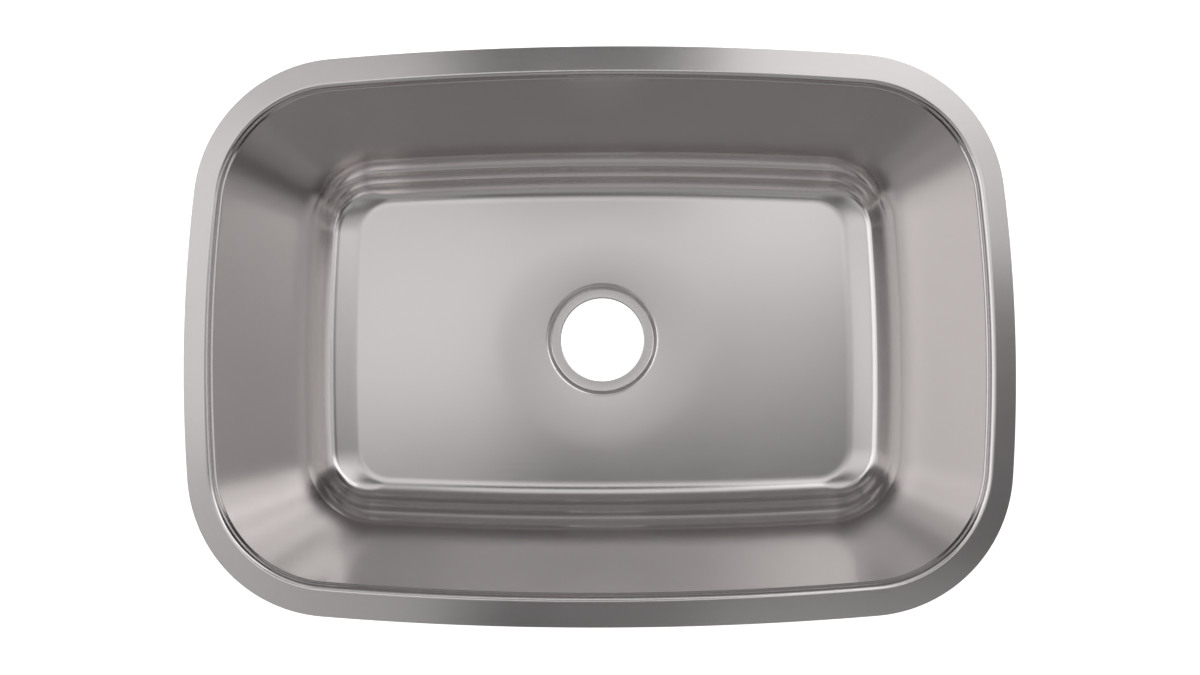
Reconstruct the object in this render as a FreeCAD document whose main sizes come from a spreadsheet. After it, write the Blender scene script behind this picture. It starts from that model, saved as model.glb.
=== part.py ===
import FreeCAD, Part
import math
import os
from collections import namedtuple

import Sketcher

# An undermount kitchen sink: one bowl drawn from stainless sheet, with rubber damping pads
# on its hidden side. Millimetres. X runs along the length, Y to the rear, Z up. The origin
# lies under the middle of the drain, at the level of the lowest point of the bowl.

SIZES = [
    # The flat flange that is clamped up against the worktop.
    ("flange_length", 762),
    ("flange_width", 532),
    ("flange_long_side_radius", 3090),
    ("flange_short_side_radius", 1430),
    ("flange_corner_radius", 136),
    ("sheet_thickness", 1.2),
    # The mouth: a rounded edge, a short land and a narrow step above the walls.
    ("rim_at_long_sides", 27.6),
    ("rim_at_short_sides", 23),
    ("mouth_long_side_radius", 3060),
    ("mouth_short_side_radius", 1400),
    ("mouth_corner_radius", 112),
    ("mouth_edge_radius", 5),
    ("land_depth", 6.4),
    ("land_run", 0.4),
    ("step_width", 1.8),
    ("step_drop", 1.6),
    # The drafted walls, down to the foot.
    ("basin_depth", 229),
    ("wall_run_at_long_sides", 39.7),
    ("wall_run_at_short_sides", 45.2),
    ("foot_height", 40),
    ("foot_long_side_radius", 4200),
    ("foot_short_side_radius", 2000),
    ("foot_corner_radius", 74),
    # The foot: at a long side three concave flutes with a narrow bead between the upper two,
    # then a fillet into the floor. At a short side the flutes fade into one plain fillet.
    ("foot_run_at_long_sides", 49),
    ("foot_run_at_short_sides", 51),
    ("flute_width", 9.85),
    ("flute_drop", 11.4),
    ("flute_hollow", 1.8),
    ("bead_width", 3.1),
    ("bead_drop", 2),
    # The flat floor, with a shallow dish that falls to the drain.
    ("floor_long_side_radius", 5000),
    ("floor_short_side_radius", 2400),
    ("floor_corner_radius", 31),
    ("dish_radius", 105),
    ("dish_fall", 1.5),
    # The recessed seat for a basket strainer.
    ("seat_outer_radius", 60),
    ("seat_lip_width", 1.6),
    ("seat_lip_drop", 0.6),
    ("seat_riser_width", 3.4),
    ("seat_depth", 5),
    ("drain_hole_radius", 44.45),
    # Damping pads, all cut with one die, each held by a film of adhesive.
    ("pad_length", 200),
    ("pad_width", 110),
    ("pad_thickness", 3),
    ("pad_corner_radius", 12),
    ("pad_gap", 50),
    ("adhesive_film", 0.2),
]

FLUTES_BELOW_BEAD = 2
FACETS_PER_MOUTH_EDGE = 3
BANDS_PER_WALL = 5
FACETS_PER_FLUTE = 3
FACETS_PER_FILLET = 4

# A level is one outline of the bowl, eight tangent arcs, as expressions of the sizes.
Level = namedtuple("Level", "half_length half_width long_radius short_radius corner_radius depth")

START, END, CENTRE = range(1, 4)
X_AXIS, Y_AXIS = -1, -2
ORIGIN = (-1, 1)

doc = FreeCAD.newDocument("Sink")
sheet = doc.addObject("Spreadsheet::Sheet", "Sizes")
for row, (alias, number) in enumerate(SIZES, start=1):
    sheet.set(f"A{row}", alias)
    sheet.set(f"B{row}", str(number))
    sheet.setAlias(f"B{row}", alias)
doc.recompute()


def value(expression):
    return float(sheet.evalExpression(expression))


# ---------------------------------------------------------------- levels of the bowl


def between(upper, lower, share):
    """The outline that lies the given share of the way from one level to another."""
    return Level(*[f"({a}) * {1 - share:.6f} + ({b}) * {share:.6f}" for a, b in zip(upper, lower)])


def widened(level, growth, depth):
    """The parallel outline that lies outside the level by the given growth."""
    return Level(*[f"{size} + {growth}" for size in level[:5]], depth)


FLANGE = Level(
    "Sizes.flange_length / 2",
    "Sizes.flange_width / 2",
    "Sizes.flange_long_side_radius",
    "Sizes.flange_short_side_radius",
    "Sizes.flange_corner_radius",
    "0",
)
MOUTH = Level(
    f"{FLANGE.half_length} - Sizes.rim_at_short_sides",
    f"{FLANGE.half_width} - Sizes.rim_at_long_sides",
    "Sizes.mouth_long_side_radius",
    "Sizes.mouth_short_side_radius",
    "Sizes.mouth_corner_radius",
    "0",
)
LAND = widened(MOUTH, "Sizes.land_run * -1", "Sizes.land_depth")
STEP = widened(LAND, "Sizes.step_width * -1", f"{LAND.depth} + Sizes.step_drop")
FOOT = Level(
    f"{STEP.half_length} - Sizes.wall_run_at_short_sides",
    f"{STEP.half_width} - Sizes.wall_run_at_long_sides",
    "Sizes.foot_long_side_radius",
    "Sizes.foot_short_side_radius",
    "Sizes.foot_corner_radius",
    "Sizes.basin_depth - Sizes.foot_height",
)
FLOOR = Level(
    f"{FOOT.half_length} - Sizes.foot_run_at_short_sides",
    f"{FOOT.half_width} - Sizes.foot_run_at_long_sides",
    "Sizes.floor_long_side_radius",
    "Sizes.floor_short_side_radius",
    "Sizes.floor_corner_radius",
    "Sizes.basin_depth",
)
TOTAL_HEIGHT = f"{FLOOR.depth} + Sizes.dish_fall + Sizes.seat_depth + Sizes.sheet_thickness"


def mouth_edge_levels():
    """The outlines of the rounded edge, from the flange down to the land."""
    levels = []
    for k in range(FACETS_PER_MOUTH_EDGE + 1):
        turn = math.pi / 2 * k / FACETS_PER_MOUTH_EDGE
        growth = f"Sizes.mouth_edge_radius * {1 - math.sin(turn):.6f}"
        levels.append(widened(MOUTH, growth, f"Sizes.mouth_edge_radius * {1 - math.cos(turn):.6f}"))
    return levels


def wall_levels():
    """The outlines of the wall between the step and the foot, evenly spaced."""
    return [between(STEP, FOOT, k / BANDS_PER_WALL) for k in range(1, BANDS_PER_WALL)]


def flute(run, drop):
    """Points of one concave flute, from the ridge above it to the ridge below it."""
    width, height = value("Sizes.flute_width"), value("Sizes.flute_drop")
    hollow = value("Sizes.flute_hollow") / math.hypot(width, height)
    points = []
    for k in range(1, FACETS_PER_FLUTE + 1):
        along = k / FACETS_PER_FLUTE
        bulge = 4 * hollow * along * (1 - along)
        points.append((run + along * width - bulge * height, drop + along * height + bulge * width))
    return points


def floor_fillet(run, drop, foot_run, foot_height):
    """Points of the arc from the lowest ridge down to the floor, which it meets level."""
    across, down = foot_run - run, foot_height - drop
    radius = (across**2 + down**2) / (2 * down)
    turn = math.asin(across / radius)
    points = []
    for k in range(1, FACETS_PER_FILLET + 1):
        angle = turn * (1 - k / FACETS_PER_FILLET)
        points.append((foot_run - radius * math.sin(angle), foot_height - radius * (1 - math.cos(angle))))
    return points


def end_fillet_share(drop, foot_run, foot_height):
    """The share of its run that the plain fillet at a short side has made at a given drop."""
    radius = (foot_run**2 + foot_height**2) / (2 * foot_height)
    below_centre = radius - foot_height + drop
    return 1 - math.sqrt(max(0, radius**2 - below_centre**2)) / foot_run


def foot_levels():
    """The outlines of the foot below its top, ridge by ridge, down to the floor."""
    side_run, end_run = value("Sizes.foot_run_at_long_sides"), value("Sizes.foot_run_at_short_sides")
    height = value("Sizes.foot_height")
    points = flute(0, 0)
    run, drop = points[-1]
    points.append((run + value("Sizes.bead_width"), drop + value("Sizes.bead_drop")))
    for _ in range(FLUTES_BELOW_BEAD):
        points += flute(*points[-1])
    points += floor_fillet(*points[-1], side_run, height)
    levels = []
    for run, drop in points:
        side = between(FOOT, FLOOR, run / side_run)
        end = between(FOOT, FLOOR, end_fillet_share(drop, end_run, height))
        depth = f"{FOOT.depth} + Sizes.foot_height * {drop / height:.6f}"
        levels.append(side._replace(half_length=end.half_length, short_radius=end.short_radius, depth=depth))
    return levels


def normals_of(points):
    """For each stretch of a profile of (reach, depth), its unit normal out of the basin."""
    normals = []
    for (reach_a, depth_a), (reach_b, depth_b) in zip(points, points[1:]):
        length = math.hypot(reach_b - reach_a, depth_b - depth_a)
        normals.append(((depth_b - depth_a) / length, (reach_a - reach_b) / length))
    return normals


def back_shares(points):
    """How far out and down the back of a sheet lies at the inner points of its face's profile.

    The shares are of the sheet's thickness. There is none for the first point and the last.
    """
    normals = normals_of(points)
    shares = []
    for (out_a, down_a), (out_b, down_b) in zip(normals, normals[1:]):
        spread = 1 + out_a * out_b + down_a * down_b
        shares.append(((out_a + out_b) / spread, (down_a + down_b) / spread))
    return shares


def out_shares(points, downs):
    """How far out the back lies at the inner points of a profile, where it lies so far down."""
    normals = normals_of(points)
    shares = []
    for beside, down in zip(zip(normals, normals[1:]), downs):
        outs = [(1 - fall * down) / out for out, fall in beside if out > 0.01]
        shares.append(sum(outs) / len(outs))
    return shares


FACE = [*mouth_edge_levels(), LAND, STEP, *wall_levels(), FOOT, *foot_levels()]
FOOT_INDEX = FACE.index(FOOT)
STEP_INDEX = FACE.index(STEP)


def profile(reach):
    """The face from the flange to the middle of the floor, as (reach, depth)."""
    levels = [FLANGE, *FACE]
    return [(value(reach(level)), value(level.depth)) for level in levels] + [(0, value(FLOOR.depth))]


SIDE_SHARES = back_shares(profile(lambda level: level.half_width))
END_OUTS = out_shares(profile(lambda level: level.half_length), [down for out, down in SIDE_SHARES])


def behind(index, thickness):
    """One level of the bowl's face, moved to the back of a layer of the given thickness."""
    level = FACE[index]
    side_out, down = SIDE_SHARES[index]
    depth = f"{level.depth} + ({thickness}) * {down:.6f}"
    side = widened(level, f"({thickness}) * {side_out:.6f}", depth)
    end = widened(level, f"({thickness}) * {END_OUTS[index]:.6f}", depth)
    return side._replace(half_length=end.half_length, short_radius=end.short_radius)


# ---------------------------------------------------------------- sketches


def new_body(name):
    """A body that hangs from the top of the flange, which is its own level zero."""
    body = doc.addObject("PartDesign::Body", name)
    body.setExpression("Placement.Base.z", TOTAL_HEIGHT)
    return body


def new_sketch(body, name, plane="XY_Plane", depth="0"):
    sketch = body.newObject("Sketcher::SketchObject", name)
    support = next(f for f in body.Origin.OriginFeatures if f.Role == plane)
    sketch.AttachmentSupport = [(support, "")]
    sketch.MapMode = "FlatFace"
    sketch.setExpression("AttachmentOffset.Base.z", f"-({depth})")
    return sketch


def bind(sketch, kind, where, name, size):
    index = sketch.addConstraint(Sketcher.Constraint(kind, *where, value(size)))
    sketch.renameConstraint(index, name)
    sketch.setExpression(f"Constraints.{name}", size)


def arc(x, y, radius, start, end):
    circle = Part.Circle(FreeCAD.Vector(x, y, 0), FreeCAD.Vector(0, 0, 1), radius)
    return Part.ArcOfCircle(circle, start, end)


def outline_arcs(level):
    """The eight arcs of an outline, counterclockwise from the right-hand short side."""
    half_length, half_width, long_radius, short_radius, corner = (value(size) for size in level[:5])
    long_y, short_x = half_width - long_radius, half_length - short_radius
    apart = math.hypot(short_x, long_y)
    to_long, to_short = long_radius - corner, short_radius - corner
    along = (to_long**2 - to_short**2 + apart**2) / (2 * apart)
    aside = math.sqrt(to_long**2 - along**2)
    x = (along * short_x - aside * long_y) / apart
    y = long_y - (along * long_y + aside * short_x) / apart
    low = math.atan2(y, x - short_x)
    high = math.atan2(y - long_y, x)
    half, full = math.pi, 2 * math.pi
    return [
        arc(short_x, 0, short_radius, -low, low),
        arc(x, y, corner, low, high),
        arc(0, long_y, long_radius, high, half - high),
        arc(-x, y, corner, half - high, half - low),
        arc(-short_x, 0, short_radius, half - low, half + low),
        arc(-x, -y, corner, half + low, half + high),
        arc(0, -long_y, long_radius, half + high, full - high),
        arc(x, -y, corner, full - high, full - low),
    ]


def outline_sketch(body, name, level):
    """Eight arcs, each tangent to the next, bound to the sizes of a level."""
    sketch = new_sketch(body, name, depth=level.depth)
    sketch.addGeometry(outline_arcs(level), False)
    right, corner, rear, left, front = 0, 1, 2, 4, 6
    ties = [Sketcher.Constraint("Tangent", k, END, (k + 1) % 8, START) for k in range(8)]
    ties += [Sketcher.Constraint("PointOnObject", side, CENTRE, X_AXIS) for side in (right, left)]
    ties += [Sketcher.Constraint("PointOnObject", side, CENTRE, Y_AXIS) for side in (rear, front)]
    equal = [(right, left), (rear, front), (corner, 3), (corner, 5), (corner, 7)]
    ties += [Sketcher.Constraint("Equal", first, second) for first, second in equal]
    sketch.addConstraint(ties)
    short_offset = f"{level.short_radius} - ({level.half_length})"
    long_offset = f"{level.long_radius} - ({level.half_width})"
    bind(sketch, "Radius", (right,), "short_side_radius", level.short_radius)
    bind(sketch, "Radius", (rear,), "long_side_radius", level.long_radius)
    bind(sketch, "Radius", (corner,), "corner_radius", level.corner_radius)
    bind(sketch, "DistanceX", (right, CENTRE, *ORIGIN), "right_centre", short_offset)
    bind(sketch, "DistanceX", (*ORIGIN, left, CENTRE), "left_centre", short_offset)
    bind(sketch, "DistanceY", (rear, CENTRE, *ORIGIN), "rear_centre", long_offset)
    bind(sketch, "DistanceY", (*ORIGIN, front, CENTRE), "front_centre", long_offset)
    return sketch


def polygon_sketch(body, name, plane, corners):
    """Straight lines between corners whose two places are expressions of the sizes."""
    sketch = new_sketch(body, name, plane)
    places = [FreeCAD.Vector(value(x), value(y), 0) for x, y in corners]
    count = len(corners)
    sketch.addGeometry([Part.LineSegment(places[k], places[(k + 1) % count]) for k in range(count)], False)
    ties = [Sketcher.Constraint("Coincident", k, END, (k + 1) % count, START) for k in range(count)]
    sketch.addConstraint(ties)
    for k, (x, y) in enumerate(corners):
        bind(sketch, "DistanceX", (*ORIGIN, k, START), f"corner_{k}_x", x)
        bind(sketch, "DistanceY", (*ORIGIN, k, START), f"corner_{k}_y", y)
    return sketch


def rounded_rectangle_sketch(body, plane, depth, centre, lengths, radius):
    """A rectangle with four rounded corners, counterclockwise from its lower side."""
    sketch = new_sketch(body, f"{body.Name}_outline", plane, depth)
    (x, y), (along, up) = (map(value, centre)), (map(value, lengths))
    corner = value(radius)
    right, top = x + along / 2, y + up / 2
    left, low = x - along / 2, y - up / 2
    quarter = math.pi / 2
    point = FreeCAD.Vector
    sketch.addGeometry(
        [
            Part.LineSegment(point(left + corner, low, 0), point(right - corner, low, 0)),
            arc(right - corner, low + corner, corner, -quarter, 0),
            Part.LineSegment(point(right, low + corner, 0), point(right, top - corner, 0)),
            arc(right - corner, top - corner, corner, 0, quarter),
            Part.LineSegment(point(right - corner, top, 0), point(left + corner, top, 0)),
            arc(left + corner, top - corner, corner, quarter, 2 * quarter),
            Part.LineSegment(point(left, top - corner, 0), point(left, low + corner, 0)),
            arc(left + corner, low + corner, corner, 2 * quarter, 3 * quarter),
        ],
        False,
    )
    ties = [Sketcher.Constraint("Tangent", k, END, (k + 1) % 8, START) for k in range(8)]
    ties += [Sketcher.Constraint("Horizontal", 0), Sketcher.Constraint("Vertical", 2)]
    ties += [Sketcher.Constraint("Equal", 1, k) for k in (3, 5, 7)]
    sketch.addConstraint(ties)
    bind(sketch, "Radius", (1,), "corner_radius", radius)
    bind(sketch, "DistanceX", (5, CENTRE, 3, CENTRE), "centres_apart_x", f"{lengths[0]} - 2 * {radius}")
    bind(sketch, "DistanceY", (1, CENTRE, 3, CENTRE), "centres_apart_y", f"{lengths[1]} - 2 * {radius}")
    bind(sketch, "DistanceX", (*ORIGIN, 1, CENTRE), "place_x", f"{centre[0]} + {lengths[0]} / 2 - {radius}")
    bind(sketch, "DistanceY", (*ORIGIN, 1, CENTRE), "place_y", f"{centre[1]} - {lengths[1]} / 2 + {radius}")
    return sketch


# ---------------------------------------------------------------- features


def loft(body, kind, name, levels):
    """A ruled loft through one outline sketch per level."""
    sketches = [outline_sketch(body, f"{name}_{k}", level) for k, level in enumerate(levels)]
    feature = body.newObject(f"PartDesign::{kind}Loft", name)
    feature.Profile = sketches[0]
    feature.Sections = sketches[1:]
    feature.Ruled = True
    return feature


def must_shrink(body, make):
    """Adds a cut to a body and stops if the cut takes nothing away."""
    doc.recompute()
    before = body.Shape.Volume
    feature = make()
    doc.recompute()
    if body.Shape.Volume >= before:
        raise RuntimeError(f"{feature.Name} cuts nothing")


def seat_section():
    """Cross-section of the sheet from the edge of the dish in to the drain hole."""
    outer = "Sizes.seat_outer_radius"
    lip = f"{outer} - Sizes.seat_lip_width"
    foot_of_riser = f"{lip} - Sizes.seat_riser_width"
    seat_drop = "Sizes.dish_fall + Sizes.seat_depth"
    face = [
        ("Sizes.dish_radius", "0"),
        (outer, "Sizes.dish_fall"),
        (lip, "Sizes.dish_fall + Sizes.seat_lip_drop"),
        (foot_of_riser, seat_drop),
        ("Sizes.drain_hole_radius", seat_drop),
    ]
    straight_down = (0, 1)
    shares = back_shares([(value(radius), value(drop)) for radius, drop in face])
    back = [
        (f"{radius} + Sizes.sheet_thickness * {out:.6f}", f"{drop} + Sizes.sheet_thickness * {down:.6f}")
        for (radius, drop), (out, down) in zip(face, [straight_down, *shares, straight_down])
    ]
    section = face + back[::-1]
    return [(radius, f"-({FLOOR.depth} + {drop})") for radius, drop in section]


def make_bowl():
    body = new_body("sink_bowl")
    back = [behind(k, "Sizes.sheet_thickness") for k in range(len(FACE))]
    loft(body, "Additive", "outside_form", back)

    flange = body.newObject("PartDesign::Pad", "flange")
    flange.Profile = outline_sketch(body, "flange_outline", FLANGE)
    flange.setExpression("Length", "Sizes.sheet_thickness")
    flange.Reversed = True

    must_shrink(body, lambda: loft(body, "Subtractive", "basin", FACE))

    def drain_opening():
        sketch = new_sketch(body, "drain_opening_circle", depth=FLOOR.depth)
        radius = value("Sizes.dish_radius")
        sketch.addGeometry(Part.Circle(FreeCAD.Vector(), FreeCAD.Vector(0, 0, 1), radius))
        sketch.addConstraint(Sketcher.Constraint("Coincident", 0, CENTRE, *ORIGIN))
        bind(sketch, "Radius", (0,), "radius", "Sizes.dish_radius")
        pocket = body.newObject("PartDesign::Pocket", "drain_opening")
        pocket.Profile = sketch
        pocket.setExpression("Length", "Sizes.sheet_thickness * 2")
        return pocket

    must_shrink(body, drain_opening)

    seat = body.newObject("PartDesign::Revolution", "drain_seat")
    seat.Profile = polygon_sketch(body, "drain_seat_section", "XZ_Plane", seat_section())
    seat.ReferenceAxis = (seat.Profile[0], ["V_Axis"])
    seat.Angle = 360
    return body


PAD_FACE = "Sizes.sheet_thickness + Sizes.adhesive_film"
PAD_BACK = f"{PAD_FACE} + Sizes.pad_thickness"
PAD_ALONG = ("Sizes.pad_length", "Sizes.pad_width")
PAD_ACROSS = PAD_ALONG[::-1]
MID_WALL = f"-(({STEP.depth}) + ({FOOT.depth})) / 2"


def make_wall_layer():
    """The layer behind the walls in which the wall pads lie."""
    body = new_body("wall_layer")
    wall = (STEP_INDEX, FOOT_INDEX)
    loft(body, "Additive", "wall_layer_back", [behind(k, PAD_BACK) for k in wall])
    levels = [behind(k, PAD_FACE) for k in wall]
    must_shrink(body, lambda: loft(body, "Subtractive", "wall_layer_face", levels))
    return body


def rounded_block(name, plane, depth, centre, lengths, height, away):
    body = new_body(name)
    block = body.newObject("PartDesign::Pad", f"{name}_block")
    block.Profile = rounded_rectangle_sketch(body, plane, depth, centre, lengths, "Sizes.pad_corner_radius")
    block.setExpression("Length", height)
    block.Reversed = away
    return body


def make_wall_pad(name, layer, plane, centre, reach, away):
    """A damping pad: what a rounded stamp, pressed square to a plane, cuts out of the layer."""
    pad = doc.addObject("Part::Common", name)
    pad.Base = layer
    pad.Tool = rounded_block(f"{name}_stamp", plane, "0", centre, PAD_ALONG, reach, away)
    return pad


def make_pads():
    layer = make_wall_layer()
    beside_middle = "(Sizes.pad_length + Sizes.pad_gap) / 2"
    beside_drain = f"(Sizes.dish_radius + {FLOOR.half_length}) / 2"
    under_floor = f"{FLOOR.depth} + {PAD_FACE}"
    pads = []
    for hand, sign in (("left", -1), ("right", 1)):
        for wall, away in (("front", False), ("rear", True)):
            centre = (f"{beside_middle} * {sign}", MID_WALL)
            name = f"{wall}_{hand}_pad"
            pads.append(make_wall_pad(name, layer, "XZ_Plane", centre, FLANGE.half_width, away))
        name = f"{hand}_end_pad"
        centre = ("0", MID_WALL)
        pads.append(make_wall_pad(name, layer, "YZ_Plane", centre, FLANGE.half_length, sign < 0))
        name = f"{hand}_base_pad"
        centre = (f"{beside_drain} * {sign}", "0")
        thick = "Sizes.pad_thickness"
        pads.append(rounded_block(name, "XY_Plane", under_floor, centre, PAD_ACROSS, thick, True))
    return pads


# ---------------------------------------------------------------- checks and files


def check(piece):
    if piece.Shape.isNull() or not piece.Shape.isValid():
        raise RuntimeError(f"{piece.Label} has no valid shape")
    if len(piece.Shape.Solids) != 1:
        raise RuntimeError(f"{piece.Label} is not one solid")
    print(piece.Label, round(piece.Shape.Volume), "mm3")


pieces = [make_bowl(), *make_pads()]
doc.recompute()
for item in doc.Objects:
    if "Invalid" in item.State or "Error" in item.State:
        raise RuntimeError(f"{item.Name} failed: {item.State}")
for piece in pieces:
    check(piece)
os.makedirs("parts", exist_ok=True)
for piece in pieces:
    piece.Shape.exportStep(f"parts/{piece.Label}.step")
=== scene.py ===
import math

import bmesh
import bpy
import numpy as np
from mathutils import Matrix, Vector


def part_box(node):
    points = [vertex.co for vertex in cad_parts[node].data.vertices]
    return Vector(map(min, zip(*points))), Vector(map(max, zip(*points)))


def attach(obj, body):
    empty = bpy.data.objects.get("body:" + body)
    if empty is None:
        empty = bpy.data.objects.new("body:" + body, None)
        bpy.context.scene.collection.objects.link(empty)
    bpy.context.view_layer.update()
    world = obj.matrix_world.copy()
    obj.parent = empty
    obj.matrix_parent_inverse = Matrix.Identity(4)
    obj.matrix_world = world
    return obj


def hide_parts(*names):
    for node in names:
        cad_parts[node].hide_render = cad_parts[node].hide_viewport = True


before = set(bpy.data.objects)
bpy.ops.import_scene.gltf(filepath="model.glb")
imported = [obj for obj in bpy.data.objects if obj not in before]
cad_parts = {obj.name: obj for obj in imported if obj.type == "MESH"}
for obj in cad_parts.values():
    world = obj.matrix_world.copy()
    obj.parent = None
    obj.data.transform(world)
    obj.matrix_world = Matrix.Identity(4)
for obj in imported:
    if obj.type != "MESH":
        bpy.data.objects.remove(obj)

# The looks of an undermount sink. X runs along the sink's length, Y to the rear and Z up.
# The sink's own lengths are in millimetres, and MM turns them into metres. The ground, the
# lights and the camera are placed in metres. The flange's top is TOP above the ground.
MM = 0.001
TOP = 236.7
SHEET = 1.2
SMOOTH_ANGLE = math.radians(40)

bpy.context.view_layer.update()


def deselect_all():
    if bpy.context.object and bpy.context.object.mode != "OBJECT":
        bpy.ops.object.mode_set(mode="OBJECT")
    bpy.ops.object.select_all(action="DESELECT")


def select_only(piece):
    deselect_all()
    piece.select_set(True)
    bpy.context.view_layer.objects.active = piece


def apply_modifier(piece, kind, name, **settings):
    select_only(piece)
    modifier = piece.modifiers.new(name, kind)
    for key, setting in settings.items():
        setattr(modifier, key, setting)
    bpy.ops.object.modifier_apply(modifier=name)


# ---------------------------------------------------------------- shape of the bowl

# A level is one outline of the bowl: half length, half width, radii of the long sides, of the
# short sides and of the corners, and how deep it lies below the flange's top.
FLANGE = np.array([380.9, 265.9, 3090, 1430, 136, 0.0])
MOUTH = np.array([358.0, 238.4, 3060, 1400, 112, 0.0])
FOOT = np.array([310.6, 196.5, 4200, 2000, 74, 189.0])
FLOOR = np.array([259.6, 148.5, 5000, 2400, 31, 229.0])

# The foot is the turn from the walls to the floor. A run is how far it reaches inwards.
FOOT_HEIGHT = 40.0
SIDE_RUN, END_RUN = 48.0, 51.0

# The mouth rounds over into the basin. Below it lies a narrow step, whose two edges lie this far
# inside the mouth's outline and this deep.
MOUTH_EDGE_RADIUS = 5.0
STEP_TOP = (-0.4, 6.4)
STEP_FOOT = (-2.2, 8.0)
STEP_CURVE = 0.6

# Round the drain the floor sinks in a shallow dish, and the strainer's seat is pressed into it.
DISH_RADIUS = 105.0
SEAT_RADIUS = 55.0
SEAT_DEPTH = 6.5
DRAIN_RADIUS = 44.45

# How many edges each arc of an outline has: short side, corner, long side, corner, and again.
ARC_STEPS = (24, 28, 40, 28) * 2
AROUND = sum(ARC_STEPS)


def widened(level, growth, depth):
    return np.append(level[:5] + growth, depth)


def mixed(a, b, share):
    return a * (1 - share) + b * share


def outline(level):
    """Points along the eight arcs of a level, in order round the bowl."""
    half_length, half_width, long_radius, short_radius, corner, depth = level
    long_y, short_x = half_width - long_radius, half_length - short_radius
    apart = math.hypot(short_x, long_y)
    to_long, to_short = long_radius - corner, short_radius - corner
    along = (to_long**2 - to_short**2 + apart**2) / (2 * apart)
    aside = math.sqrt(to_long**2 - along**2)
    x = (along * short_x - aside * long_y) / apart
    y = long_y - (along * long_y + aside * short_x) / apart
    low = math.atan2(y, x - short_x)
    high = math.atan2(y - long_y, x)
    half, full = math.pi, 2 * math.pi
    arcs = [
        (short_x, 0, short_radius, -low, low),
        (x, y, corner, low, high),
        (0, long_y, long_radius, high, half - high),
        (-x, y, corner, half - high, half - low),
        (-short_x, 0, short_radius, half - low, half + low),
        (-x, -y, corner, half + low, half + high),
        (0, -long_y, long_radius, half + high, full - high),
        (x, -y, corner, full - high, full - low),
    ]
    points = []
    for (centre_x, centre_y, radius, start, end), steps in zip(arcs, ARC_STEPS):
        for k in range(steps):
            angle = start + (end - start) * k / steps
            point_x = centre_x + radius * math.cos(angle)
            point_y = centre_y + radius * math.sin(angle)
            points.append((point_x, point_y, TOP - depth))
    return np.array(points) * MM


def circle(radius, depth):
    """Points round the drain, as many as an outline has and in the same order."""
    turn = 2 * math.pi * (np.arange(AROUND) - ARC_STEPS[0] / 2) / AROUND
    heights = np.full(AROUND, TOP - depth)
    return np.stack([radius * np.cos(turn), radius * np.sin(turn), heights], axis=1) * MM


def softened(profile, reach_of):
    """The profile's rows, with a small curve in place of each corner that has a size for it."""
    smooth = []
    for k, (row, size) in enumerate(profile):
        if not size:
            smooth.append(row)
            continue
        before, after = profile[k - 1][0], profile[k + 1][0]
        start = mixed(row, before, min(0.5, size / math.dist(reach_of(row), reach_of(before))))
        end = mixed(row, after, min(0.5, size / math.dist(reach_of(row), reach_of(after))))
        for share in (0, 0.25, 0.5, 0.75, 1):
            smooth.append(mixed(mixed(start, row, share), mixed(row, end, share), share))
    return smooth


def foot_profile():
    """Run and drop of the foot at a long side, with the size of the curve at each ridge.

    A hollow flute, a small bead, two more flutes, and a ramp that levels out into the floor.
    """
    width, height, hollow = 9.85, 11.4, 0.9
    bead_width, bead_height = 3.1, 2.0
    ridge, crease = 1.3, 1.4
    levelling = 2.7
    flute_steps, ramp_steps = 8, 16
    chord = math.hypot(width, height)

    def flute(run, drop):
        points = []
        for k in range(1, flute_steps + 1):
            along = k / flute_steps
            bulge = 4 * hollow * along * (1 - along) / chord
            flute_run = run + along * width - bulge * height
            flute_drop = drop + along * height + bulge * width
            points.append((flute_run, flute_drop, ridge if k == flute_steps else 0))
        return points

    points = flute(0, 0)
    points.append((points[-1][0] + bead_width, points[-1][1] + bead_height, crease))
    points += flute(*points[-1][:2])
    points += flute(*points[-1][:2])
    run, drop = points[-1][:2]
    for k in range(1, ramp_steps + 1):
        left = 1 - k / ramp_steps
        ramp_run = SIDE_RUN - (SIDE_RUN - run) * left
        ramp_drop = FOOT_HEIGHT - (FOOT_HEIGHT - drop) * left**levelling
        points.append((ramp_run, ramp_drop, 0))
    return points


def end_fillet():
    """Runs and heights of the plain foot at a short side, outwards from the floor.

    It leans gently first, then curves and ends steep. The lean is in degrees.
    """
    run = np.linspace(0, END_RUN, 200)
    lean = np.interp(run, (0, 8, 26, 33, END_RUN), (0, 15, 19, 55, 75))
    rise = np.tan(np.radians(lean))
    height = np.append(0, np.cumsum((rise[1:] + rise[:-1]) / 2))
    return run, height * FOOT_HEIGHT / height[-1]


def foot_level(run, drop):
    """The outline at a run and drop: fluted at the long sides, one plain fillet at the ends."""
    end_run, end_height = end_fillet()
    end_share = 1 - np.interp(FOOT_HEIGHT - drop, end_height, end_run) / END_RUN
    level = mixed(FOOT, FLOOR, run / SIDE_RUN)
    end = mixed(FOOT, FLOOR, end_share)
    level[0], level[3], level[5] = end[0], end[3], FOOT[5] + drop
    return level


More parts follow.
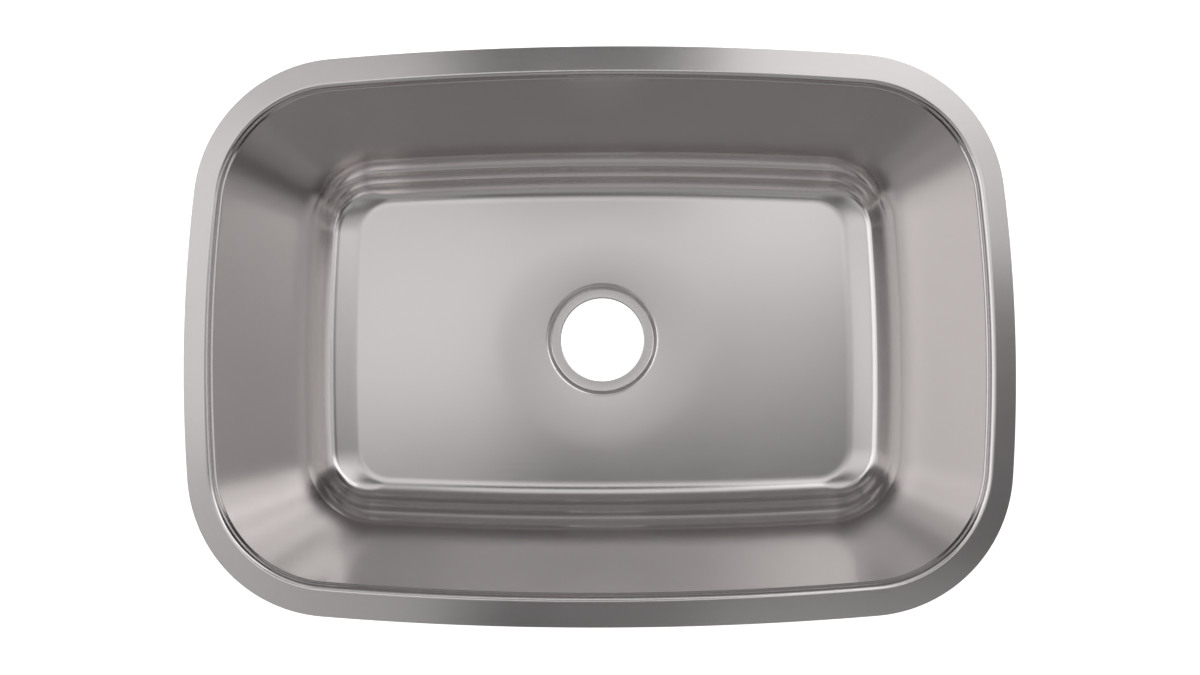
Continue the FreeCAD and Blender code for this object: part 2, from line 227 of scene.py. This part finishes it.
def bowl_rings():
    """The outlines from the edge of the flange to the edge of the drain hole."""
    edge_start = widened(MOUTH, MOUTH_EDGE_RADIUS, 0)
    profile = [(mixed(FLANGE, edge_start, share), 0) for share in (0, 0.02, 0.3, 0.65, 0.98)]
    edge_steps = 10
    for k in range(edge_steps + 1):
        turn = math.pi / 2 * k / edge_steps
        growth = MOUTH_EDGE_RADIUS * (1 - math.sin(turn))
        profile.append((widened(MOUTH, growth, MOUTH_EDGE_RADIUS * (1 - math.cos(turn))), 0))
    step = widened(MOUTH, *STEP_FOOT)
    profile += [(widened(MOUTH, *STEP_TOP), STEP_CURVE), (step, STEP_CURVE)]
    profile += [(mixed(step, FOOT, share), 0) for share in (0.02, 0.2, 0.4, 0.6, 0.8, 0.985)]
    profile += [(FOOT, 1.0)]
    profile += [(foot_level(run, drop), size) for run, drop, size in foot_profile()]
    levels = softened(profile, lambda row: (row[1], row[5]))
    rings = [outline(level) for level in levels]

    seat = [
        (np.array([DISH_RADIUS + 30, 0.0]), 0),
        (np.array([DISH_RADIUS, 0.0]), 20.0),
        (np.array([SEAT_RADIUS + 5.0, 1.5]), 0.7),
        (np.array([SEAT_RADIUS + 3.4, 2.1]), 0.4),
        (np.array([SEAT_RADIUS, SEAT_DEPTH]), 0.9),
        (np.array([DRAIN_RADIUS + 1.55, SEAT_DEPTH]), 0),
        (np.array([DRAIN_RADIUS, SEAT_DEPTH]), 0),
    ]
    seat_rings = [circle(radius, FLOOR[5] + drop) for radius, drop in softened(seat, tuple)]
    rim, dish = rings[-1], seat_rings[0]
    rings += [mixed(rim, dish, share) for share in (0.01, 0.06, 0.2, 0.4, 0.6, 0.8)]
    return rings + seat_rings


def place_ring(mesh, ring, order):
    for vertex in mesh.verts:
        if vertex.select:
            vertex.co = ring[vertex[order]]


def make_bowl(steel):
    """One sheet drawn down ring by ring from the flange, then given its thickness."""
    rings = bowl_rings()
    deselect_all()
    middle = (0, 0, TOP * MM)
    bpy.ops.mesh.primitive_circle_add(vertices=AROUND, radius=FLANGE[0] * MM, location=middle)
    bowl = bpy.context.object
    bowl.name = bowl.data.name = "drawn_bowl"
    bpy.ops.object.transform_apply(location=True, rotation=True, scale=True)
    bpy.ops.object.mode_set(mode="EDIT")
    bpy.ops.mesh.select_all(action="SELECT")
    mesh = bmesh.from_edit_mesh(bowl.data)
    order = mesh.verts.layers.int.new("order")
    mesh.verts.ensure_lookup_table()
    for k, vertex in enumerate(mesh.verts):
        vertex[order] = k
    place_ring(mesh, rings[0], order)
    for ring in rings[1:]:
        bpy.ops.mesh.extrude_edges_move()
        mesh = bmesh.from_edit_mesh(bowl.data)
        place_ring(mesh, ring, mesh.verts.layers.int["order"])
    bpy.ops.mesh.select_all(action="SELECT")
    bpy.ops.mesh.normals_make_consistent(inside=False)
    mesh = bmesh.from_edit_mesh(bowl.data)
    floor_face = min(mesh.faces, key=lambda face: face.calc_center_median().z)
    if floor_face.normal.z < 0:
        bpy.ops.mesh.flip_normals()
    bpy.ops.object.mode_set(mode="OBJECT")
    apply_modifier(
        bowl,
        "SOLIDIFY",
        "sheet",
        thickness=SHEET * MM,
        offset=-1,
        use_even_offset=True,
        use_rim=True,
    )
    apply_modifier(
        bowl,
        "BEVEL",
        "deburred",
        width=0.2 * MM,
        segments=2,
        limit_method="ANGLE",
        angle_limit=math.radians(70),
    )
    select_only(bowl)
    bpy.ops.object.shade_smooth_by_angle(angle=SMOOTH_ANGLE)
    bowl.data.materials.append(steel)
    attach(bowl, "root")
    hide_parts("sink_bowl")
    return bowl


# ---------------------------------------------------------------- damping pads

# A pad is stuck to the bowl's back by a film of adhesive. Its back is a shallow field in a border.
FILM = 0.2
PAD_THICKNESS = 3.0
PAD_CORNER = 12.0
PAD_BORDER = 7.0
FIELD_EDGE = 0.8
FIELD_DEPTH = 0.5
STRIPS_ALONG, STRIPS_ACROSS = 24, 8

# Where each pad's back faces and how a flat sheet is turned to face that way.
FACINGS = {
    "front": (Vector((0, -1, 0)), (90, 0, 0)),
    "rear": (Vector((0, 1, 0)), (-90, 0, 0)),
    "left_end": (Vector((-1, 0, 0)), (0, -90, 0)),
    "right_end": (Vector((1, 0, 0)), (0, 90, 0)),
    "base": (Vector((0, 0, -1)), (180, 0, 0)),
}


def facing_of(node_name):
    return next(facing for key, facing in FACINGS.items() if key in node_name)


def flat_pad(node_name):
    """A flat sheet with rounded corners, as long and wide as the pad, in the box of its node."""
    outward, turn = facing_of(node_name)
    low, high = (Vector(corner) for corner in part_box(node_name))
    middle = (low + high) / 2
    reach = (high - low) / 2
    place = middle + outward * reach.dot(Vector([abs(part) for part in outward]))
    deselect_all()
    rotation = [math.radians(angle) for angle in turn]
    bpy.ops.mesh.primitive_plane_add(size=1, location=place, rotation=rotation)
    pad = bpy.context.object
    pad.name = pad.data.name = "moulded_" + node_name
    across = [abs(axis.dot(reach)) * 2 for axis in pad.matrix_basis.to_3x3().col]
    pad.scale = (across[0], across[1], 1)
    bpy.ops.object.transform_apply(location=True, rotation=True, scale=True)
    bpy.ops.object.mode_set(mode="EDIT")
    bpy.ops.mesh.select_all(action="SELECT")
    bpy.ops.mesh.bevel(offset=PAD_CORNER * MM, segments=8, affect="VERTICES")
    bpy.ops.object.mode_set(mode="OBJECT")
    return pad, outward, low, high


def cut_into_strips(pad, low, high):
    """Even cuts along and across the pad, so that it can follow a curved wall."""
    select_only(pad)
    bpy.ops.object.mode_set(mode="EDIT")
    spans = sorted(range(3), key=lambda axis: high[axis] - low[axis])[1:]
    for axis, strips in zip(spans, (STRIPS_ACROSS, STRIPS_ALONG)):
        for k in range(1, strips):
            place, normal = [0, 0, 0], [0, 0, 0]
            place[axis] = low[axis] + (high[axis] - low[axis]) * k / strips
            normal[axis] = 1
            bpy.ops.mesh.select_all(action="SELECT")
            bpy.ops.mesh.bisect(plane_co=place, plane_no=normal)
    bpy.ops.object.mode_set(mode="OBJECT")


def lay_on_wall(pad, bowl, outward):
    apply_modifier(
        pad,
        "SHRINKWRAP",
        "pressed on",
        target=bowl,
        wrap_method="PROJECT",
        use_project_x=bool(outward.x),
        use_project_y=bool(outward.y),
        use_positive_direction=True,
        use_negative_direction=True,
    )
    bpy.ops.object.mode_set(mode="EDIT")
    bpy.ops.mesh.select_all(action="SELECT")
    bpy.ops.transform.shrink_fatten(value=(FILM + PAD_THICKNESS) * MM)
    bpy.ops.object.mode_set(mode="OBJECT")


def sink_field(pad, outward):
    """Presses a shallow field into the pad's back, inside a border."""
    select_only(pad)
    bpy.ops.object.mode_set(mode="EDIT")
    bpy.ops.mesh.select_mode(type="FACE")
    bpy.ops.mesh.select_all(action="DESELECT")
    mesh = bmesh.from_edit_mesh(pad.data)
    nearly_outward = 0.7
    for face in mesh.faces:
        face.select = face.normal.dot(outward) > nearly_outward
    bmesh.update_edit_mesh(pad.data)
    bpy.ops.mesh.inset(thickness=PAD_BORDER * MM)
    bpy.ops.mesh.inset(thickness=FIELD_EDGE * MM, depth=-FIELD_DEPTH * MM)
    bpy.ops.object.mode_set(mode="OBJECT")


def make_pad(node_name, bowl, rubber):
    pad, outward, low, high = flat_pad(node_name)
    cut_into_strips(pad, low, high)
    if not outward.z:
        lay_on_wall(pad, bowl, outward)
    apply_modifier(pad, "SOLIDIFY", "thickness", thickness=PAD_THICKNESS * MM, offset=-1)
    sink_field(pad, outward)
    apply_modifier(
        pad,
        "BEVEL",
        "moulded edge",
        width=0.6 * MM,
        segments=3,
        limit_method="ANGLE",
        angle_limit=math.radians(25),
    )
    select_only(pad)
    bpy.ops.object.shade_smooth_by_angle(angle=SMOOTH_ANGLE)
    pad.data.materials.append(rubber)
    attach(pad, "root")
    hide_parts(node_name)


# ---------------------------------------------------------------- materials


class Nodes:
    """A short way to add nodes to one tree."""

    def __init__(self, tree):
        self.tree = tree

    def add(self, kind, **settings):
        node = self.tree.nodes.new(kind)
        for key, setting in settings.items():
            setattr(node, key, setting)
        return node

    def link(self, source, target):
        self.tree.links.new(source, target)

    def math(self, operation, *parts):
        """A Math node. Each part is a number or the output of another node."""
        node = self.add("ShaderNodeMath", operation=operation)
        for socket, part in zip(node.inputs, parts):
            if isinstance(part, (int, float)):
                socket.default_value = part
            else:
                self.link(part, socket)
        return node.outputs[0]

    def noise(self, place, roughness):
        node = self.add("ShaderNodeTexNoise")
        node.inputs["Scale"].default_value = 1
        node.inputs["Detail"].default_value = 3
        node.inputs["Roughness"].default_value = roughness
        self.link(place, node.inputs["Vector"])
        return node.outputs["Fac"]

    def map_range(self, value, low, high, to_low, to_high):
        node = self.add("ShaderNodeMapRange")
        limits = {"From Min": low, "From Max": high, "To Min": to_low, "To Max": to_high}
        for title, number in limits.items():
            node.inputs[title].default_value = number
        self.link(value, node.inputs["Value"])
        return node.outputs["Result"]

    def blend(self, share, colour_a, colour_b):
        """A colour between two others."""
        node = self.add("ShaderNodeMix", data_type="RGBA")
        node.inputs[6].default_value = colour_a
        node.inputs[7].default_value = colour_b
        self.link(share, node.inputs["Factor"])
        return node.outputs[2]

    def group(self, tree, **sizes):
        node = self.add("ShaderNodeGroup")
        node.node_tree = tree
        for title, number in sizes.items():
            node.inputs[title].default_value = number
        return node.outputs


def new_group(name, inputs, outputs):
    """An empty node group with named sockets, and its input and output nodes."""
    group = bpy.data.node_groups.new(name, "ShaderNodeTree")
    for title, number in inputs.items():
        socket = group.interface.new_socket(title, in_out="INPUT", socket_type="NodeSocketFloat")
        socket.default_value = number
    for title in outputs:
        group.interface.new_socket(title, in_out="OUTPUT", socket_type="NodeSocketFloat")
    nodes = Nodes(group)
    return group, nodes, nodes.add("NodeGroupInput").outputs, nodes.add("NodeGroupOutput").inputs


def brushing_group():
    """Fine lines that run level round the walls, and along the length on the floor."""
    group, nodes, given, result = new_group("brushing", {"Width": 0.001, "Length": 0.05}, ["Lines"])
    place = nodes.add("ShaderNodeSeparateXYZ")
    nodes.link(nodes.add("ShaderNodeTexCoord").outputs["Object"], place.inputs[0])
    x, y, z = place.outputs
    length, width = given["Length"], given["Width"]
    shown = []
    for sizes in ((length, width, width), (width, length, width)):
        stretched = nodes.add("ShaderNodeCombineXYZ")
        for target, part, size in zip(stretched.inputs, (x, y, z), sizes):
            nodes.link(nodes.math("DIVIDE", part, size), target)
        shown.append(nodes.noise(stretched.outputs[0], roughness=0.6))
    normal = nodes.add("ShaderNodeSeparateXYZ")
    nodes.link(nodes.add("ShaderNodeNewGeometry").outputs["Normal"], normal.inputs[0])
    toward_x = nodes.math("ABSOLUTE", normal.outputs[0])
    toward_y = nodes.math("ABSOLUTE", normal.outputs[1])
    share = nodes.map_range(nodes.math("SUBTRACT", toward_x, toward_y), 0.05, 0.4, 0, 1)
    mixed_lines = nodes.add("ShaderNodeMix")
    nodes.link(share, mixed_lines.inputs["Factor"])
    nodes.link(shown[0], mixed_lines.inputs["A"])
    nodes.link(shown[1], mixed_lines.inputs["B"])
    nodes.link(mixed_lines.outputs["Result"], result["Lines"])
    return group


def clouding_group():
    """Slow, soft patches."""
    group, nodes, given, result = new_group("clouding", {"Size": 0.1}, ["Clouds"])
    place = nodes.add("ShaderNodeVectorMath", operation="SCALE")
    nodes.link(nodes.add("ShaderNodeTexCoord").outputs["Object"], place.inputs[0])
    nodes.link(nodes.math("DIVIDE", 1.0, given["Size"]), place.inputs["Scale"])
    nodes.link(nodes.noise(place.outputs[0], roughness=0.5), result["Clouds"])
    return group


def grain_group():
    """Small rounded pebbles of one size, such as a mould leaves on rubber."""
    group, nodes, given, result = new_group("grain", {"Size": 0.001}, ["Grain"])
    place = nodes.add("ShaderNodeVectorMath", operation="SCALE")
    nodes.link(nodes.add("ShaderNodeTexCoord").outputs["Object"], place.inputs[0])
    nodes.link(nodes.math("DIVIDE", 1.0, given["Size"]), place.inputs["Scale"])
    pebbles = nodes.add("ShaderNodeTexVoronoi", feature="SMOOTH_F1")
    pebbles.inputs["Scale"].default_value = 1
    nodes.link(place.outputs[0], pebbles.inputs["Vector"])
    nodes.link(nodes.math("SUBTRACT", 1.0, pebbles.outputs["Distance"]), result["Grain"])
    return group


def new_material(name):
    material = bpy.data.materials.new(name)
    material.use_nodes = True
    return material, Nodes(material.node_tree), material.node_tree.nodes["Principled BSDF"]


def raise_surface(nodes, shader, height, distance, strength):
    bump = nodes.add("ShaderNodeBump")
    bump.inputs["Distance"].default_value = distance
    bump.inputs["Strength"].default_value = strength
    nodes.link(height, bump.inputs["Height"])
    nodes.link(bump.outputs["Normal"], shader.inputs["Normal"])


def brushing_direction(nodes):
    """Which way the lines run: level round the flange and the walls, lengthwise on the floor.

    The squareness keeps them straight along the sides and turns them in the corners.
    """
    place = nodes.add("ShaderNodeSeparateXYZ")
    nodes.link(nodes.add("ShaderNodeTexCoord").outputs["Object"], place.inputs[0])
    x, y, z = place.outputs
    squareness = 3.0
    across = nodes.math("ABSOLUTE", nodes.math("DIVIDE", y, FLANGE[1] * MM))
    toward_side = nodes.math("POWER", across, squareness)
    toward_end = nodes.math("POWER", nodes.math("DIVIDE", x, FLANGE[0] * MM), squareness)
    above_floor = nodes.map_range(z, (TOP - FLOOR[5] + 2) * MM, (TOP - FOOT[5]) * MM, 0, 1)
    on_floor = nodes.math("SUBTRACT", 1.0, above_floor)
    on_walls = nodes.math("MULTIPLY", toward_side, above_floor)
    along_x = nodes.math("ADD", on_walls, nodes.math("MULTIPLY", on_floor, 0.2))
    along_y = nodes.math("MULTIPLY", toward_end, nodes.math("SIGN", y))
    direction = nodes.add("ShaderNodeCombineXYZ")
    nodes.link(nodes.math("MULTIPLY", along_x, -1.0), direction.inputs[0])
    nodes.link(nodes.math("MULTIPLY", along_y, above_floor), direction.inputs[1])
    return direction.outputs[0]


def brushed_stainless(brushing, clouding):
    """Satin stainless steel: fine level lines over slow patches left by rolling and drawing."""
    material, nodes, shader = new_material("brushed_stainless")
    lines = nodes.group(brushing, Width=0.0009, Length=0.06)["Lines"]
    clouds = nodes.group(clouding, Size=0.12)["Clouds"]
    half_lines = nodes.math("MULTIPLY", lines, 0.5)
    both = nodes.math("ADD", half_lines, nodes.math("MULTIPLY", clouds, 0.5))
    share = nodes.map_range(both, 0.3, 0.7, 0, 1)
    shade = nodes.blend(share, (0.568, 0.545, 0.54, 1), (0.608, 0.584, 0.578, 1))
    nodes.link(shade, shader.inputs["Base Color"])
    nodes.link(nodes.map_range(both, 0.3, 0.7, 0.18, 0.22), shader.inputs["Roughness"])
    shader.inputs["Metallic"].default_value = 1
    shader.inputs["Anisotropic"].default_value = 0.45
    shader.inputs["Anisotropic Rotation"].default_value = 0.25
    nodes.link(brushing_direction(nodes), shader.inputs["Tangent"])
    raise_surface(nodes, shader, lines, distance=0.00001, strength=0.2)
    return material


def damping_rubber(clouding, grain):
    """Black rubber with a pebbled skin and a faint bloom."""
    material, nodes, shader = new_material("damping_rubber")
    clouds = nodes.group(clouding, Size=0.05)["Clouds"]
    pebbles = nodes.group(grain, Size=0.0014)["Grain"]
    share = nodes.map_range(clouds, 0.35, 0.7, 0, 1)
    shade = nodes.blend(share, (0.03, 0.03, 0.032, 1), (0.05, 0.05, 0.053, 1))
    nodes.link(shade, shader.inputs["Base Color"])
    nodes.link(nodes.map_range(pebbles, 0.2, 1, 0.75, 0.58), shader.inputs["Roughness"])
    raise_surface(nodes, shader, pebbles, distance=0.0002, strength=0.6)
    return material


def pale_ground():
    """A white ground that can be seen through from below, so that the sink's underside shows.

    It glows for the camera and hardly for anything else, so that the steel doesn't mirror its
    glow round the drain hole.
    """
    material, nodes, shader = new_material("pale_ground")
    facing = nodes.add("ShaderNodeNewGeometry")
    clear = nodes.add("ShaderNodeBsdfTransparent")
    either = nodes.add("ShaderNodeMixShader")
    output = material.node_tree.nodes["Material Output"]
    nodes.link(facing.outputs["Backfacing"], either.inputs[0])
    nodes.link(shader.outputs[0], either.inputs[1])
    nodes.link(clear.outputs[0], either.inputs[2])
    nodes.link(either.outputs[0], output.inputs["Surface"])
    shader.inputs["Base Color"].default_value = (0.5, 0.5, 0.5, 1)
    shader.inputs["Roughness"].default_value = 0.8
    shader.inputs["Emission Color"].default_value = (1, 1, 1, 1)
    glow_on_steel, glow_in_view = 0.1, 1.0
    seen = nodes.add("ShaderNodeLightPath").outputs["Is Camera Ray"]
    glow = nodes.map_range(seen, 0, 1, glow_on_steel, glow_in_view)
    nodes.link(glow, shader.inputs["Emission Strength"])
    return material


# ---------------------------------------------------------------- stage, light and camera


def make_ground():
    deselect_all()
    bpy.ops.mesh.primitive_plane_add(size=12, location=(0, 0, 0))
    ground = bpy.context.object
    ground.name = "ground"
    ground.data.materials.append(pale_ground())


def soft_light(name, place, target, size, radiance):
    """An area light that faces a target and shows the given radiance."""
    width, height = size
    lamp = bpy.data.lights.new(name, "AREA")
    lamp.shape = "RECTANGLE"
    lamp.size, lamp.size_y = width, height
    lamp.energy = radiance * math.pi * width * height
    light = bpy.data.objects.new(name, lamp)
    bpy.context.scene.collection.objects.link(light)
    toward = Vector(target) - Vector(place)
    turn = toward.to_track_quat("-Z", "Y").to_matrix().to_4x4()
    light.matrix_world = Matrix.Translation(place) @ turn


def studio_world():
    """Nearly dark as a light, but pale where the camera sees it past the ground."""
    world = bpy.data.worlds.new("studio")
    bpy.context.scene.world = world
    world.use_nodes = True
    nodes = Nodes(world.node_tree)
    background = world.node_tree.nodes["Background"]
    background.inputs["Color"].default_value = (1, 1, 1, 1)
    as_light, in_view = 0.03, 0.85
    seen = nodes.add("ShaderNodeLightPath").outputs["Is Camera Ray"]
    strength = nodes.map_range(seen, 0, 1, as_light, in_view)
    nodes.link(strength, background.inputs["Strength"])


def light_scene():
    """Panels overhead and soft boxes on all sides, each as bright as the reflections need it.

    A panel has its two reaches along X and Y, a box its place, what it faces, its width and height.
    """
    studio_world()
    ceiling, aim = 2.4, 0.15
    for name, (left, right), (front, rear), radiance in (
        ("back_left_panel", (-1.3, -0.42), (0.62, 1.05), 0.65),
        ("back_right_panel", (0.24, 1.3), (0.62, 1.05), 1.25),
        ("rear_far_left_panel", (-1.3, -0.42), (0.22, 0.62), 1.0),
        ("rear_middle_panel", (-0.42, 0.2), (0.22, 0.54), 1.2),
        ("rear_right_panel", (0.2, 0.7), (0.22, 0.62), 1.2),
        ("rear_far_right_panel", (0.7, 1.3), (0.22, 0.62), 0.75),
        ("middle_far_left_panel", (-1.3, -0.8), (-0.18, 0.22), 0.88),
        ("middle_left_panel", (-0.8, -0.3), (-0.18, 0.22), 1.1),
        ("middle_panel", (-0.3, 0.2), (-0.18, 0.22), 0.7),
        ("middle_right_panel", (0.2, 0.7), (-0.18, 0.22), 0.6),
        ("middle_far_right_panel", (0.7, 1.3), (-0.18, 0.22), 0.1),
        ("front_far_left_panel", (-1.3, -0.8), (-0.58, -0.18), 0.65),
        ("front_left_panel", (-0.8, -0.3), (-0.58, -0.18), 0.35),
        ("front_right_panel", (-0.3, 1.3), (-0.58, -0.18), 0.1),
        ("near_left_panel", (-1.3, -0.42), (-1.05, -0.58), 0.6),
        ("near_middle_panel", (-0.2, 0.2), (-1.05, -0.58), 0.2),
        ("near_right_panel", (0.2, 1.3), (-1.05, -0.58), 0.55),
    ):
        x, y = (left + right) / 2, (front + rear) / 2
        soft_light(name, (x, y, ceiling), (x, y, 0), (right - left, rear - front), radiance)
    for name, place, target, size, radiance in (
        ("left_front_box", (-1.8, -0.75, 1.95), (0, -0.38), (0.75, 1.25), 0.6),
        ("left_box", (-1.8, 0, 1.95), (0, 0), (0.75, 1.25), 1.55),
        ("left_rear_box", (-1.8, 0.75, 1.95), (0, 0.38), (0.75, 1.25), 1.65),
        ("left_low_box", (-2.2, 0, 1.0), (0, 0), (2.2, 0.8), 1.25),
        ("right_front_box", (1.8, -0.75, 1.95), (0, -0.38), (0.75, 1.25), 0.1),
        ("right_box", (1.8, 0, 1.95), (0, 0), (0.75, 1.25), 0.66),
        ("right_rear_box", (1.8, 0.75, 1.95), (0, 0.38), (0.75, 1.25), 1.85),
        ("right_low_box", (2.2, 0, 1.0), (0, 0), (2.2, 0.8), 0.9),
        ("front_box", (0, -1.6, 1.95), (0, 0), (2.4, 1.3), 0.4),
        ("front_low_box", (0, -2.1, 1.0), (0, 0), (2.2, 0.8), 0.36),
        ("rear_left_box", (-0.8, 1.6, 1.95), (-0.4, 0), (0.8, 1.3), 0.6),
        ("rear_box", (0, 1.6, 1.95), (0, 0), (0.8, 1.1), 0.95),
        ("rear_right_box", (0.8, 1.6, 1.95), (0.4, 0), (0.8, 1.3), 1.6),
        ("rear_low_box", (0, 2.1, 1.0), (0, 0), (2.2, 0.8), 0.38),
        ("front_left_corner_box", (-1.35, -1.2, 2.05), (0, 0), (0.7, 0.7), 0.5),
        ("front_right_corner_box", (1.35, -1.2, 2.05), (0, 0), (0.7, 0.7), 0.43),
        ("rear_left_corner_box", (-1.35, 1.2, 2.05), (0, 0), (0.7, 0.7), 1.2),
        ("rear_right_corner_box", (1.35, 1.2, 2.05), (0, 0), (0.7, 0.7), 1.75),
    ):
        soft_light(name, place, (*target, aim), size, radiance)


def make_camera():
    """A camera 1.36 m above the flange that looks almost straight down, as in the photo."""
    camera = bpy.data.cameras.new("camera")
    camera.sensor_fit = "HORIZONTAL"
    camera.sensor_width = 36
    camera.lens = 44.4
    camera.shift_x, camera.shift_y = -0.0015, -0.0835
    camera.clip_start, camera.clip_end = 0.05, 50
    view = bpy.data.objects.new("camera", camera)
    bpy.context.scene.collection.objects.link(view)
    view.location = (0.0307, -0.053, 1.3568 + TOP * MM)
    view.rotation_euler = (math.radians(5.86), math.radians(1.134), math.radians(-0.235))
    bpy.context.scene.camera = view


clouding = clouding_group()
drawn_bowl = make_bowl(brushed_stainless(brushing_group(), clouding))
rubber = damping_rubber(clouding, grain_group())
for name in sorted(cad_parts):
    if name.endswith("_pad"):
        make_pad(name, drawn_bowl, rubber)
make_ground()
light_scene()
make_camera()
bpy.context.scene.view_settings.view_transform = "Standard"
